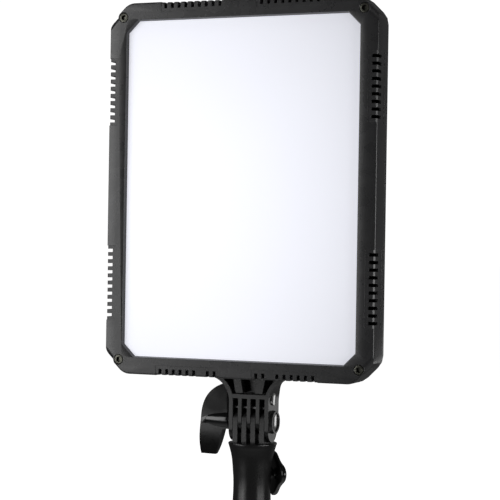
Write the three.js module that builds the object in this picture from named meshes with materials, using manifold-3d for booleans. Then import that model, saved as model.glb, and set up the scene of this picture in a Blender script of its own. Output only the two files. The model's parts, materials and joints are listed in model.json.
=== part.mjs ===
// LED panel light on a tilting stand bracket.
// Millimetres, +Z up. The origin is the centre of the stand socket's mouth, on the underside of
// the receiver. The light faces -Y, and the tilt axis runs along X straight above the origin.
import * as THREE from 'three';
import { mergeVertices } from 'three/addons/utils/BufferGeometryUtils.js';
import Module from 'manifold-3d';

const wasm = await Module();
wasm.setup();

// ---------------------------------------------------------------- driving dimensions
const GAP = 0.3; // between pieces that touch

const PIVOT_Z = 94; // tilt axis above the socket mouth
const PANEL = {
  width: 278,
  height: 366,
  depth: 34,
  cornerLeg: 19.6,
  cornerRound: 7,
  centreZ: PIVOT_Z + 228,
  frontY: -50,
};
const OPENING = { width: 240, height: 330.4, leg: 11.6, depth: 4.5, flare: 1 };
const WALL = 2.2;
const FRONT_PLATE = 2.5;
const EDGE_ROUND = 1.5;
const FRAME_DEPTH = 26; // front frame's share of the panel's depth
const CORNER = { creaseU: 207, faceU: 213.8, blockU: 203 }; // distances from centre, on the diagonal
const CORNER_SCREW = { x: 124.6, z: 169.1, bossR: 6, headR: 4.6, shankR: 2.4, socket: 5 };
const VENT = { width: 3.2, reachFront: 6.4, reachSide: 12, sidePitch: 7.1, endPitch: 7.2 };
const BAY = { width: 164, height: 112, depth: 15, centreZ: -20, wall: 2, round: 8 };
const DIAL = { x: 50, z: -46, radius: 13, height: 13 };
const ROCKER = { x: -58, z: 8, width: 12, height: 20, tiltDeg: 8 };
const INLET = { x: 58, z: 8, radius: 6 };
const BUTTON = { x: 12, z: -46, radius: 4 };
const DISPLAY = { width: 60, height: 34, z: 8 };
const LAYERS = { // depths behind the panel's front face
  diffuser: [4.8, 6.8],
  film: [7.1, 7.5],
  guide: [7.8, 10.8],
  reflector: [11.1, 11.5],
  heatSink: [12.6, 14.2],
};
const LED = { nearX: 122.9, boardX: 124.3, farX: 125.5, halfLength: 158, chips: 12, pitch: 26, chip: 5 };
const GRILLE = { x: 56, firstZ: 70, pitch: 9, rows: 8, length: 70, slot: 3.4 };

const EAR = {
  inner: 16.9, outer: 20.9, halfDepth: 12.5, rearY: 16.2, dropBelowPivot: 20, flareR: 24, flareZ: 19.8,
};
const COMB = { pitch: 9.4, finger: 3.6, radius: 12.3, barZ: 23, barTop: 27, wallY: 12.7, wallZ: 12.4 };
const MOUNT_PLATE = {
  halfWidth: 46, bore: 2.5, seatR: 5.2, z0: 46, z1: 104, thickness: 4, screwX: 33, screwZ: [61, 92],
};
const EAR_PLUG = { y: -0.8, z: 22.8, radius: 6.2, faceX: 22.4 };
const BOLT = { radius: 5, bore: 5.3, acrossFlats: 17, headOuterX: 23.7, headInnerX: 19, endX: -33 };
const CUP = { radius: 11, outerX: 24.5, floorX: 18.7 };
const LEVER = { nearX: -22.9, insertR: 6.9, insertEndX: -31, reach: 40, tipHalf: 1.7, middleHalf: 5.75 };

const RECEIVER = { collarTop: PIVOT_Z - 21, socketR: 8.1, socketDepth: 58, finger: 4.8 };
const LOCK = {
  z: PIVOT_Z - 52.6, turnDeg: 40, bossR: 5.6, bossEnd: 21.2,
  padR: 5.7, screwR: 3, knobFrom: 22.8, knobTo: 29.1,
};
const LOCK_KNOB = { mean: 19.2, swing: 4.6, ripple: 0.65, firstLobeDeg: 55, rim: 2 };

// ---------------------------------------------------------------- materials
const material = (color, roughness, metalness = 0, extra = {}) =>
  new THREE.MeshStandardMaterial({ color, roughness, metalness, ...extra });
const MATERIALS = {
  housing: material(0x2c2c2d, 0.55),
  bracket: material(0x262627, 0.5),
  grip: material(0x1c1c1c, 0.6),
  blackScrew: material(0x22221f, 0.35, 0.9),
  plated: material(0xd8d8d6, 0.2, 1),
  opal: material(0xf4f5fa, 0.45),
  film: material(0xffffff, 0.7),
  acrylic: material(0xe8f2f6, 0.1, 0, { transparent: true, opacity: 0.4 }),
  board: material(0x1e5a38, 0.6),
  aluminium: material(0xb4b6b8, 0.4, 1),
  brass: material(0xb8924a, 0.35, 1),
  blackPlastic: material(0x18181a, 0.45),
  displayGlass: material(0x101418, 0.08),
  displayCell: material(0x27313a, 0.3),
};

// ---------------------------------------------------------------- solids
/** A closed geometry as a solid, with its shared vertices merged. */
function solid(geometry) {
  const bare = geometry.clone();
  bare.deleteAttribute('normal');
  bare.deleteAttribute('uv');
  const merged = mergeVertices(bare);
  return new wasm.Manifold(new wasm.Mesh({
    numProp: 3,
    vertProperties: new Float32Array(merged.attributes.position.array),
    triVerts: new Uint32Array(merged.index.array),
  }));
}

function geometryOf(body) {
  const mesh = body.getMesh();
  const geometry = new THREE.BufferGeometry();
  geometry.setAttribute('position', new THREE.BufferAttribute(new Float32Array(mesh.vertProperties), 3));
  geometry.setIndex(new THREE.BufferAttribute(new Uint32Array(mesh.triVerts), 1));
  geometry.computeVertexNormals();
  return geometry;
}

const cut = (body, ...tools) => tools.reduce((rest, tool) => rest.subtract(tool), body);
const join = (body, ...others) => others.reduce((whole, other) => whole.add(other), body);
const common = (body, other) => body.intersect(other);

// Columns say where a drawing's right, up and outward directions go, for an extrusion along each axis.
const V = (x, y, z) => new THREE.Vector3(x, y, z);
const TURN = {
  x: new THREE.Matrix4().makeBasis(V(0, 1, 0), V(0, 0, 1), V(1, 0, 0)), // drawn in (y, z)
  y: new THREE.Matrix4().makeBasis(V(1, 0, 0), V(0, 0, 1), V(0, -1, 0)), // drawn in (x, z)
  z: new THREE.Matrix4(), // drawn in (x, y)
};

/** A drawing extruded along an axis, from one coordinate to a larger one. bevel narrows both ends. */
function prism(axis, shape, from, to, { bevel = 0, bevelDepth = bevel, bevelSteps = 1, curve = 4 } = {}) {
  const geometry = new THREE.ExtrudeGeometry(shape, {
    depth: to - from - 2 * bevelDepth,
    curveSegments: curve,
    bevelEnabled: bevel !== 0,
    bevelSize: bevel,
    bevelOffset: -Math.max(bevel, 0),
    bevelThickness: bevelDepth,
    bevelSegments: bevelSteps,
  });
  geometry.translate(0, 0, bevelDepth);
  geometry.applyMatrix4(TURN[axis]);
  const shift = { x: [from, 0, 0], y: [0, to, 0], z: [0, 0, from] }[axis];
  geometry.translate(...shift);
  return solid(geometry);
}

/** A rod along an axis. at is its place in the other two coordinates, in x, y, z order. */
function rod(axis, radius, from, to, at = [0, 0], sides = 20) {
  const geometry = new THREE.CylinderGeometry(radius, radius, to - from, sides);
  geometry.rotateX(Math.PI / 2);
  geometry.applyMatrix4(TURN[axis]);
  const middle = (from + to) / 2;
  const place = { x: [middle, ...at], y: [at[0], middle, at[1]], z: [...at, middle] }[axis];
  geometry.translate(...place);
  return solid(geometry);
}

/** A hexagonal bar along an axis, with two corners pointing along the drawing's up direction. */
function hexBar(axis, acrossFlats, from, to, at = [0, 0]) {
  const corner = acrossFlats / Math.sqrt(3);
  const shape = new THREE.Shape(
    Array.from({ length: 6 }, (_, i) => {
      const angle = ((i + 0.5) * Math.PI) / 3;
      return new THREE.Vector2(corner * Math.cos(angle) + at[0], corner * Math.sin(angle) + at[1]);
    }),
  );
  return prism(axis, shape, from, to);
}

/** Outline points (radius, height) turned about +Z. The outline starts and ends on the axis. */
function turned(points, sides = 32) {
  const outline = points.map(([r, h]) => new THREE.Vector2(r, h));
  const geometry = new THREE.LatheGeometry(outline, sides);
  geometry.rotateX(Math.PI / 2);
  return solid(geometry);
}

function block([x0, y0, z0], [x1, y1, z1]) {
  const geometry = new THREE.BoxGeometry(x1 - x0, y1 - y0, z1 - z0);
  geometry.translate((x0 + x1) / 2, (y0 + y1) / 2, (z0 + z1) / 2);
  return solid(geometry);
}

// ---------------------------------------------------------------- drawings
const drawing = (points) => new THREE.Shape(points.map(([a, b]) => new THREE.Vector2(a, b)));

function rectangle(width, height, a = 0, b = 0) {
  const [w, h] = [width / 2, height / 2];
  return drawing([[a - w, b - h], [a + w, b - h], [a + w, b + h], [a - w, b + h]]);
}

/** A rectangle with 45 degree corners, each joined to its sides by a curve of the given length. */
function clippedRectangle(width, height, leg, round = 0) {
  const [w, h] = [width / 2, height / 2];
  const corners = [
    [w, -h + leg], [w, h - leg], [w - leg, h], [-w + leg, h],
    [-w, h - leg], [-w, -h + leg], [-w + leg, -h], [w - leg, -h],
  ];
  return roundedPolygon(corners, round);
}

/** A polygon whose corners are rounded by curves that start a set length before each one. */
function roundedPolygon(corners, length) {
  if (!length) return drawing(corners);
  const points = corners.map(([a, b]) => new THREE.Vector2(a, b));
  const shape = new THREE.Shape();
  points.forEach((corner, i) => {
    const before = points[(i + points.length - 1) % points.length];
    const after = points[(i + 1) % points.length];
    const start = corner.clone().add(before.clone().sub(corner).setLength(length));
    const end = corner.clone().add(after.clone().sub(corner).setLength(length));
    if (i === 0) shape.moveTo(start.x, start.y);
    else shape.lineTo(start.x, start.y);
    shape.quadraticCurveTo(corner.x, corner.y, end.x, end.y);
  });
  shape.closePath();
  return shape;
}

const roundedRectangle = (width, height, round, a = 0, b = 0) => {
  const [w, h] = [width / 2, height / 2];
  return roundedPolygon([[a - w, b - h], [a + w, b - h], [a + w, b + h], [a - w, b + h]], round);
};

// ---------------------------------------------------------------- groups and pieces
const light = new THREE.Group();
const receiverGroup = new THREE.Group();
const bracketGroup = new THREE.Group();
const panelGroup = new THREE.Group();
bracketGroup.position.set(0, 0, PIVOT_Z);
panelGroup.position.set(0, PANEL.frontY, PANEL.centreZ);
light.add(receiverGroup, bracketGroup, panelGroup);

function piece(group, name, body, look) {
  const mesh = new THREE.Mesh(geometryOf(body), look);
  mesh.name = name;
  group.add(mesh);
}

// ---------------------------------------------------------------- panel
// Its depth runs along +Y from its front face.
const QUADRANTS = [
  ['top_left', -1, 1], ['top_right', 1, 1], ['bottom_left', -1, -1], ['bottom_right', 1, -1],
];

/** Where each vent slot is: its edge of the panel, and its place along that edge. */
function ventPlaces() {
  const places = [];
  const run = (edge, first, pitch, count, missing = -1) => {
    for (let i = 0; i < count; i += 1) if (i !== missing) places.push([edge, first + i * pitch]);
  };
  for (const side of ['left', 'right']) {
    run(side, 67.2, VENT.sidePitch, 9);
    run(side, -61.4, -VENT.sidePitch, 10);
  }
  for (const sign of [-1, 1]) {
    run('top', sign * 21.6, sign * VENT.endPitch, 9);
    run('bottom', sign * 21.6, sign * VENT.endPitch, 9, 2);
  }
  return places;
}

/** A tool drawn across an edge of the panel, swept along that edge between two places. */
function edgeTool(edge, profile, from, to) {
  const sign = edge === 'right' || edge === 'top' ? 1 : -1;
  const upright = edge === 'left' || edge === 'right';
  const half = (upright ? PANEL.width : PANEL.height) / 2;
  const points = profile.map(([inward, depth]) => [sign * (half - inward), depth]);
  if (upright) return prism('z', drawing(points), from, to);
  return prism('x', drawing(points.map(([across, depth]) => [depth, across])), from, to);
}

const ventProfile = [
  [VENT.reachFront, -1], [-2, -1], [-2, VENT.reachSide], [4, VENT.reachSide], [4, 4], [VENT.reachFront, 4],
];
function vents() {
  const half = VENT.width / 2;
  return ventPlaces().map(([edge, at]) => edgeTool(edge, ventProfile, at - half, at + half));
}

/** The prism, along a corner's cut face, that leaves the front edge rolled off behind a quarter round. */
function cornerRollOff(sx, sz) {
  const radius = CORNER.faceU - CORNER.creaseU;
  const outline = new THREE.Shape();
  outline.moveTo(CORNER.creaseU, -1);
  outline.lineTo(CORNER.creaseU, 0);
  outline.absarc(CORNER.creaseU, radius, radius, -Math.PI / 2, 0, false);
  outline.lineTo(CORNER.faceU + 20, radius);
  outline.lineTo(CORNER.faceU + 20, -1);
  const geometry = new THREE.ExtrudeGeometry(outline, { depth: 60, curveSegments: 2, bevelEnabled: false });
  geometry.translate(0, 0, -30);
  geometry.rotateY(Math.atan2(-sz, sx));
  return solid(geometry);
}

function frontFrame() {
  const outer = clippedRectangle(PANEL.width, PANEL.height, PANEL.cornerLeg, PANEL.cornerRound);
  const body = common(
    prism('y', outer, 0, FRAME_DEPTH + 10, { bevel: EDGE_ROUND, bevelSteps: 2, curve: 2 }),
    block([-200, -1, -220], [200, FRAME_DEPTH, 220]),
  );
  const cavityLeg = PANEL.width / 2 + PANEL.height / 2 - 2 * WALL - CORNER.blockU * Math.SQRT2;
  const cavity = clippedRectangle(PANEL.width - 2 * WALL, PANEL.height - 2 * WALL, cavityLeg);
  const { width, height, leg, depth, flare } = OPENING;
  const lip = clippedRectangle(width + 5, height + 5, leg + 1.5);
  const mouth = clippedRectangle(width + 2 * flare, height + 2 * flare, leg + 0.6);
  const funnel = prism('y', mouth, -depth, depth, { bevel: flare, bevelDepth: depth - 0.01, bevelSteps: 1 });
  const hollow = cut(prism('y', cavity, FRONT_PLATE, FRAME_DEPTH + 1), prism('y', lip, 0, depth));
  const rollOffs = QUADRANTS.map(([, sx, sz]) => cornerRollOff(sx, sz));
  const { x, z, bossR, headR, shankR } = CORNER_SCREW;
  const bosses = QUADRANTS.map(([, sx, sz]) => rod('y', bossR, 0.2, 12, [sx * x, sz * z]));
  const seats = QUADRANTS.map(([, sx, sz]) => rod('y', headR + GAP, -1, 6, [sx * x, sz * z]));
  const holeTo = FRAME_DEPTH + 1;
  const holes = QUADRANTS.map(([, sx, sz]) => rod('y', shankR + GAP, 5, holeTo, [sx * x, sz * z], 16));
  const window = prism('y', clippedRectangle(width, height, leg), 0, 6);
  const shell = cut(body, hollow, funnel, window, ...rollOffs);
  return cut(join(shell, ...bosses), ...seats, ...holes, ...vents());
}

function cornerScrew(sx, sz) {
  const { x, z, headR, shankR, socket } = CORNER_SCREW;
  const at = [sx * x, sz * z];
  const whole = join(rod('y', headR, 0.8, 5.7, at, 24), rod('y', shankR, 5.5, 30, at, 12));
  return cut(whole, hexBar('y', socket, 0, 3.6, at));
}

function rearHousing() {
  const outer = clippedRectangle(PANEL.width, PANEL.height, PANEL.cornerLeg, PANEL.cornerRound);
  const front = FRAME_DEPTH + GAP;
  const body = common(
    prism('y', outer, 0, PANEL.depth, { bevel: 2.4, curve: 2 }),
    block([-200, front, -220], [200, PANEL.depth + 1, 220]),
  );
  const cavityLeg = PANEL.width / 2 + PANEL.height / 2 - 2 * WALL - CORNER.blockU * Math.SQRT2;
  const cavity = clippedRectangle(PANEL.width - 2 * WALL, PANEL.height - 2 * WALL, cavityLeg);
  const { x, z, shankR } = CORNER_SCREW;
  const screwHoles = QUADRANTS.map(([, sx, sz]) => rod('y', shankR + GAP, 25, 30.4, [sx * x, sz * z], 12));
  const toPanel = PIVOT_Z - PANEL.centreZ;
  const places = plateScrewPlaces().map(([px, pz]) => [px, pz + toPanel]);
  const plateHoles = places.map((at) => rod('y', MOUNT_PLATE.bore, 25, 40, at, 12));
  const grille = [];
  for (const side of [-1, 1]) {
    for (let row = 0; row < GRILLE.rows; row += 1) {
      const slot = rectangle(GRILLE.length, GRILLE.slot, side * GRILLE.x, GRILLE.firstZ + row * GRILLE.pitch);
      grille.push(prism('y', slot, 25, 40));
    }
  }
  const cableWay = prism('y', rectangle(60, 20, 0, BAY.centreZ), 25, 40);
  const inside = prism('y', cavity, 20, PANEL.depth - WALL);
  return cut(body, inside, cableWay, ...screwHoles, ...plateHoles, ...grille);
}

/** Where the four mount plate screws are, in the bracket's x and z. */
function plateScrewPlaces() {
  return MOUNT_PLATE.screwZ.flatMap((z) => [-1, 1].map((side) => [side * MOUNT_PLATE.screwX, z]));
}

/** One layer of the light engine: a clipped sheet between two depths. */
const sheet = (width, height, leg, from, to) => prism('y', clippedRectangle(width, height, leg), from, to);

/** A side board with its row of LED chips, which shine into the light guide's edge. */
function ledStrip(side) {
  const { nearX, boardX, farX, halfLength, chips, pitch, chip } = LED;
  const board = block([boardX, 7.2, -halfLength], [farX, 12.1, halfLength]);
  const row = Array.from({ length: chips }, (_, i) => {
    const z = (i - (chips - 1) / 2) * pitch;
    return block([nearX, 8.1, z - chip / 2], [boardX + 0.2, 11.1, z + chip / 2]);
  });
  const strip = join(board, ...row);
  return side > 0 ? strip : strip.mirror([1, 0, 0]);
}

function heatSinkPlate() {
  const floor = sheet(255.2, 332, 10, ...LAYERS.heatSink);
  const flange = block([LED.farX + 0.4, 7, -156], [127.6, 13, 156]);
  return join(floor, flange, flange.mirror([1, 0, 0]));
}

function driverBoard() {
  const base = block([-70, 18, -70], [70, 19.6, 20]);
  const parts = [
    block([-58, 19.4, -58], [-34, 25.5, -30]),
    block([-20, 19.4, -60], [0, 24, -40]),
    block([20, 19.4, -56], [48, 25.5, -34]),
    block([-50, 19.4, -12], [-20, 23, 8]),
    rod('y', 5, 19.4, 25.8, [20, 2], 16),
    rod('y', 5, 19.4, 25.8, [36, 2], 16),
  ];
  return join(base, ...parts);
}

function controlHousing() {
  const { width, height, depth, centreZ, wall, round } = BAY;
  const [from, to] = [PANEL.depth + GAP, PANEL.depth + depth];
  const outline = roundedRectangle(width, height, round, 0, centreZ);
  const outer = prism('y', outline, from - 5, to, { bevel: 2, curve: 3 });
  const body = common(outer, block([-150, from, -150], [150, to + 1, 150]));
  const inside = roundedRectangle(width - 2 * wall, height - 2 * wall, round - wall, 0, centreZ);
  const holes = [
    prism('y', rectangle(DISPLAY.width + 2 * GAP, DISPLAY.height + 2 * GAP, 0, DISPLAY.z), to - 5, to + 1),
    prism('y', rectangle(ROCKER.width + 4, ROCKER.height + 4, ROCKER.x, ROCKER.z), to - 5, to + 1),
    rod('y', INLET.radius + GAP, to - 5, to + 1, [INLET.x, INLET.z]),
  ];
  for (const side of [-1, 1]) {
    holes.push(rod('y', 3.8, to - 5, to + 1, [side * DIAL.x, DIAL.z], 20));
    holes.push(rod('y', BUTTON.radius + GAP, to - 5, to + 1, [side * BUTTON.x, BUTTON.z], 24));
  }
  const posts = bayScrewPlaces().map((at) => rod('y', 4.5, from, to - 1, at, 16));
  const screwHoles = bayScrewPlaces().map((at) => rod('y', 1.8, from - 1, to + 1, at, 12));
  const seats = bayScrewPlaces().map((at) => rod('y', 3.3, to - 2.6, to + 1, at, 16));
  const shell = cut(body, prism('y', inside, from - 1, to - wall), ...holes);
  return cut(join(shell, ...posts), ...screwHoles, ...seats);
}

/** Where the four control housing screws are, in the panel's own x and z. */
function bayScrewPlaces() {
  const [x, z] = [BAY.width / 2 - 8, BAY.height / 2 - 8];
  return QUADRANTS.map(([, sx, sz]) => [sx * x, BAY.centreZ + sz * z]);
}

function bayScrew(at) {
  const to = PANEL.depth + BAY.depth;
  const head = rod('y', 3, to - 2.3, to - 0.3, at, 20);
  const whole = join(head, rod('y', 1.5, PANEL.depth + 0.6, to - 2.2, at, 12));
  return cut(whole, hexBar('y', 2, to - 1.5, to, at));
}

const addPanel = (name, body, look) => piece(panelGroup, name, body, look);

addPanel('front_frame', frontFrame(), MATERIALS.housing);
for (const [where, sx, sz] of QUADRANTS) {
  addPanel(`frame_screw_${where}`, cornerScrew(sx, sz), MATERIALS.blackScrew);
}
addPanel('diffuser_panel', sheet(246, 336, 13, ...LAYERS.diffuser), MATERIALS.opal);
addPanel('diffusion_film', sheet(244, 334, 13, ...LAYERS.film), MATERIALS.film);
addPanel('light_guide_plate', sheet(244.8, 334, 8, ...LAYERS.guide), MATERIALS.acrylic);
addPanel('reflector_sheet', sheet(244.8, 334, 8, ...LAYERS.reflector), MATERIALS.film);
addPanel('led_strip_left', ledStrip(-1), MATERIALS.board);
addPanel('led_strip_right', ledStrip(1), MATERIALS.board);
addPanel('heat_sink_plate', heatSinkPlate(), MATERIALS.aluminium);
addPanel('driver_board', driverBoard(), MATERIALS.board);
addPanel('rear_housing', rearHousing(), MATERIALS.housing);
addPanel('control_housing', controlHousing(), MATERIALS.housing);
bayScrewPlaces().forEach((at, i) => addPanel(`control_screw_${i + 1}`, bayScrew(at), MATERIALS.blackScrew));

// ---------------------------------------------------------------- controls in the rear bay
const bayBack = PANEL.depth + BAY.depth;
const boardFrom = PANEL.depth + 5;

addPanel('control_board', block([-66, boardFrom, -70], [66, boardFrom + 1.6, 30]), MATERIALS.board);
addPanel(
  'display_module',
  block([-33, boardFrom + 2, DISPLAY.z - 18.5], [33, bayBack - 2.5, DISPLAY.z + 18.5]),
  MATERIALS.displayCell,
);
addPanel(
  'display_window',
  prism('y', rectangle(DISPLAY.width, DISPLAY.height, 0, DISPLAY.z), bayBack - 1.9, bayBack - 0.2),
  MATERIALS.displayGlass,
);
for (const [name, side] of [['dimmer', -1], ['colour', 1]]) {
  const at = [side * DIAL.x, DIAL.z];
  const encoder = cut(
    join(
      block([at[0] - 6, boardFrom + 1.9, at[1] - 6], [at[0] + 6, boardFrom + 7, at[1] + 6]),
      rod('y', 3.5, boardFrom + 6, bayBack - 0.3, at, 20),
    ),
    rod('y', 2.5, boardFrom + 3, bayBack + 1, at, 16),
  );
  const knobFrom = bayBack + 0.7;
  const knob = cut(
    prism('y', fluted(DIAL.radius, 0.5, 14, at), knobFrom, knobFrom + DIAL.height, { bevel: 0.8 }),
    rod('y', 2.5, bayBack, bayBack + 10.3, at, 16),
  );
  addPanel(`${name}_encoder`, encoder, MATERIALS.aluminium);
  addPanel(`${name}_shaft`, rod('y', 2.2, boardFrom + 3.3, bayBack + 10, at, 16), MATERIALS.plated);
  addPanel(`${name}_knob`, knob, MATERIALS.grip);
}

/** A round outline with shallow flutes. */
function fluted(radius, depth, count, [a, b]) {
  return drawing(
    Array.from({ length: count * 2 }, (_, i) => {
      const angle = (i * Math.PI) / count;
      const r = radius - (i % 2) * depth;
      return [a + r * Math.cos(angle), b + r * Math.sin(angle)];
    }),
  );
}

for (const [name, side] of [['mode_button', -1], ['preset_button', 1]]) {
  const at = [side * BUTTON.x, BUTTON.z];
  addPanel(name, rod('y', BUTTON.radius, boardFrom + 5.4, bayBack + 1.4, at, 24), MATERIALS.grip);
  addPanel(
    `${name.split('_')[0]}_switch`,
    block([at[0] - 3, boardFrom + 1.9, at[1] - 3], [at[0] + 3, boardFrom + 4.4, at[1] + 3]),
    MATERIALS.blackPlastic,
  );
}

function powerSwitchBody() {
  const { x, z, width, height } = ROCKER;
  const flange = prism('y', roundedRectangle(width + 7, height + 7, 2, x, z), bayBack + GAP, bayBack + 1.5);
  const sleeve = prism('y', rectangle(width + 3.4, height + 3.4, x, z), boardFrom + 2, bayBack + 1);
  const well = prism('y', rectangle(width + 1, height + 1, x, z), boardFrom + 4, bayBack + 3);
  return cut(join(flange, sleeve), well);
}

/** The rocker's key, with one end pressed in. Its pivot is level with the switch's flange. */
function powerRocker() {
  const { width, height } = ROCKER;
  const reach = height / 2;
  const side = drawing([
    [-4, -reach + 1.2], [1.2, -reach + 0.4], [-0.2, 0], [1.2, reach - 0.4], [-4, reach - 1.2],
  ]);
  return prism('x', side, -width / 2, width / 2);
}

addPanel('power_switch_body', powerSwitchBody(), MATERIALS.blackPlastic);
const rocker = new THREE.Group();
rocker.position.set(ROCKER.x, bayBack + 1.2, ROCKER.z);
rocker.rotation.x = THREE.MathUtils.degToRad(-ROCKER.tiltDeg);
panelGroup.add(rocker);
piece(rocker, 'power_rocker', powerRocker(), MATERIALS.grip);

function dcInlet() {
  const at = [INLET.x, INLET.z];
  const barrel = rod('y', INLET.radius, boardFrom + 2, bayBack + 1, at, 24);
  const flange = rod('y', INLET.radius + 2, bayBack + GAP, bayBack + 1.4, at, 28);
  const mouth = rod('y', 4, boardFrom + 4, bayBack + 3, at, 20);
  const pinHole = rod('y', 1, boardFrom + 3, boardFrom + 5, at, 12);
  return cut(join(barrel, flange), mouth, pinHole);
}

addPanel('dc_inlet', dcInlet(), MATERIALS.blackPlastic);
const inletPin = rod('y', 0.9, boardFrom + 4.3, bayBack - 1, [INLET.x, INLET.z], 12);
addPanel('dc_inlet_pin', inletPin, MATERIALS.plated);

// ---------------------------------------------------------------- tilt bracket
// Its group's origin is on the tilt axis.
/** The bracket's walls from the front: two ears that flare out to the mount plate. */
function earWall(side) {
  const { inner, outer, dropBelowPivot, flareR, flareZ } = EAR;
  const thick = outer - inner;
  const centre = outer + flareR;
  const top = flareZ + flareR + thick;
  const shape = new THREE.Shape();
  shape.moveTo(inner, -dropBelowPivot - 1);
  shape.lineTo(outer, -dropBelowPivot - 1);
  shape.lineTo(outer, flareZ);
  shape.absarc(centre, flareZ, flareR, Math.PI, Math.PI / 2, true);
  shape.lineTo(MOUNT_PLATE.halfWidth, flareZ + flareR);
  shape.lineTo(MOUNT_PLATE.halfWidth, top + 1);
  shape.lineTo(centre, top + 1);
  shape.absarc(centre, flareZ, flareR + thick, Math.PI / 2, Math.PI, false);
  shape.closePath();
  const wall = prism('y', shape, -EAR.halfDepth, EAR.rearY, { curve: 5 });
  return side > 0 ? wall : wall.mirror([1, 0, 0]);
}

/** The ears' outline from the side: a round lower end, and a rear edge that sweeps in to the plate. */
function earSide() {
  const { halfDepth, rearY, dropBelowPivot } = EAR;
  const endZ = halfDepth - dropBelowPivot;
  const shape = new THREE.Shape();
  shape.absarc(0, endZ, halfDepth, Math.PI, 2 * Math.PI, false);
  shape.bezierCurveTo(halfDepth, 0, rearY, 2, rearY, 12);
  shape.lineTo(rearY, 22);
  shape.bezierCurveTo(rearY, 29, 11, 33, -5, 41.5);
  shape.lineTo(-5, 50);
  shape.lineTo(-halfDepth, 50);
  shape.closePath();
  return prism('x', shape, -60, 60, { curve: 8 });
}

const upperFingers = [-1, 0, 1].map((i) => i * COMB.pitch);
const lowerFingers = [-1.5, -0.5, 0.5, 1.5].map((i) => i * COMB.pitch);

function upperFinger(x) {
  const { radius, finger, barZ } = COMB;
  const shape = new THREE.Shape();
  shape.absarc(0, 0, radius, Math.PI, 2 * Math.PI, false);
  shape.lineTo(radius, barZ + 1);
  shape.lineTo(-radius, barZ + 1);
  shape.closePath();
  return prism('x', shape, x - finger / 2, x + finger / 2, { curve: 6 });
}

/** A rib on the web, leaning in towards the crossbar and ending just above it. */
function bracketRib(side) {
  const points = [[6.5, 28.4], [14, 28.4], [18, 48], [10, 48]].map(([x, z]) => [side * x, z]);
  return prism('y', drawing(points), -COMB.radius, 1);
}

function tiltBracket() {
  const walls = common(join(earWall(-1), earWall(1)), earSide());
  const { halfWidth, z0, z1, thickness, bore, seatR } = MOUNT_PLATE;
  const plateFront = PANEL.frontY + PANEL.depth + GAP;
  const outline = roundedRectangle(2 * halfWidth, z1 - z0, 6, 0, (z0 + z1) / 2);
  const plate = prism('y', outline, plateFront, plateFront + thickness);
  const span = EAR.inner + 1;
  const foot = block([-halfWidth + 3, -EAR.halfDepth, z0], [halfWidth - 3, -7, z0 + 8]);
  const crossbar = block([-span, -COMB.radius, COMB.barZ], [span, EAR.rearY, COMB.barTop]);
  const rearWall = common(
    block([-span, COMB.wallY, COMB.wallZ], [span, EAR.rearY, COMB.barTop]),
    earSide(),
  );
  const webEdge = [[18, COMB.barZ], [18.6, 27], [21, 31], [24.5, 36], [29, 40.5], [35, 44], [38, z0 + 1.5]];
  const webOutline = [...webEdge, ...webEdge.map(([x, z]) => [-x, z]).reverse()];
  const web = prism('y', drawing(webOutline), 0, 3);
  const webFoot = block([-span - 8, -8, z0 - 3], [span + 8, 1, z0 + 1.5]);
  const ribs = [bracketRib(-1), bracketRib(1)];
  const cup = rod('x', CUP.radius, EAR.outer - 1, CUP.outerX, [0, 0], 28);
  const fingers = upperFingers.map(upperFinger);
  const body = join(walls, plate, foot, crossbar, rearWall, web, webFoot, ...ribs, ...fingers, cup);
  const { radius, y, z } = EAR_PLUG;
  const plugHole = rod('x', radius + GAP, EAR.inner - 3, 60, [y, z], 24);
  return cut(
    body,
    rod('x', BOLT.bore, -60, 60, [0, 0], 20),
    hexBar('x', BOLT.acrossFlats + 2 * GAP, CUP.floorX, 40),
    plugHole,
    plugHole.mirror([1, 0, 0]),
    ...plateScrewPlaces().map((at) => rod('y', bore, -30, 10, at, 16)),
    ...plateScrewPlaces().map((at) => rod('y', seatR, plateFront + thickness, 10, at, 20)),
  );
}

function bracketScrew(at) {
  const seat = PANEL.frontY + PANEL.depth + GAP + MOUNT_PLATE.thickness;
  const head = rod('y', 4.6, seat + GAP, seat + 3.4, at, 24);
  const whole = join(head, rod('y', 2.2, -26, seat + 1, at, 12));
  return cut(whole, hexBar('y', 4, seat + 1.4, seat + 6, at));
}

function tiltBolt() {
  return join(
    hexBar('x', BOLT.acrossFlats, BOLT.headInnerX, BOLT.headOuterX),
    rod('x', BOLT.radius, BOLT.endX, BOLT.headInnerX + 1, [0, 0], 20),
  );
}

/** The lever's blade, thickest at the tilt axis: a round upper wing and a longer, straighter lower one. */
function leverBlade() {
  const shape = new THREE.Shape();
  shape.moveTo(-26, -8.4);
  shape.lineTo(-30.6, -9.6);
  shape.bezierCurveTo(-32.4, -17, -34.3, -27, -38.6, -34.8);
  shape.lineTo(-54, -34.6);
  shape.bezierCurveTo(-56.6, -22, -54.8, -10, -53.7, 1);
  shape.bezierCurveTo(-53.4, 16, -49.2, 29.4, -32.2, 35.8);
  shape.lineTo(-27.8, 34.4);
  shape.bezierCurveTo(-26.6, 26, -25.6, 16, -25.4, 8);
  shape.closePath();
  const { reach, tipHalf, middleHalf } = LEVER;
  const bulge = 2 * middleHalf - tipHalf;
  const section = new THREE.Shape();
  section.moveTo(-tipHalf, -reach);
  section.lineTo(tipHalf, -reach);
  section.quadraticCurveTo(bulge, 0, tipHalf, reach);
  section.lineTo(-tipHalf, reach);
  section.quadraticCurveTo(-bulge, 0, -tipHalf, -reach);
  return common(prism('y', shape, -8, 8, { curve: 5 }), prism('x', section, -60, -20, { curve: 6 }));
}

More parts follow.
